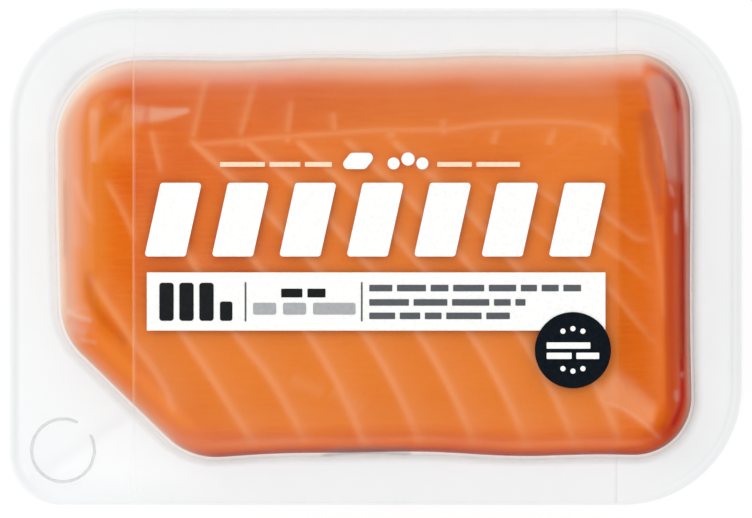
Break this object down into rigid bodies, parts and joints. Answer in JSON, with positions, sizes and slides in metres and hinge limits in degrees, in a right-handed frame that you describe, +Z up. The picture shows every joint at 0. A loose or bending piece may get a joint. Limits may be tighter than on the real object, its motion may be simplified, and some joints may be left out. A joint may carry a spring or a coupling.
{
  "type": "sealed pack of salmon loin",
  "caption": "Flat clear retail pack with a raw salmon loin under tight clear film, a clear printed label band and a peel corner.",
  "frame": {"origin": "middle of the pack's box at the underside of the tray, where it lies on a surface", "axes": "+X along the pack, to the right as the print is read; +Y across it, up as the print is read; +Z up, from the tray to the printed face"},
  "size_m": [0.118, 0.08, 0.0189],
  "materials": {
    "clear_tray": "smooth pale translucent sheet, glossy",
    "salmon_flesh": "raw salmon, moist orange flesh with paler lines between the flakes",
    "cover_film": "thin clear plastic film, drawn tight, glossy with soft creases",
    "label_film": "thin clear label film, glossy",
    "white_print": "white printed ink, smooth",
    "dark_print": "navy printed ink, smooth"
  },
  "bodies": {
    "root": {"tray": "clear_tray", "salmon_loin": "salmon_flesh", "cover_film": "cover_film", "label_band": "label_film", "weight_panel": "white_print", "round_seal": "dark_print"}
  },
  "joints": []
}
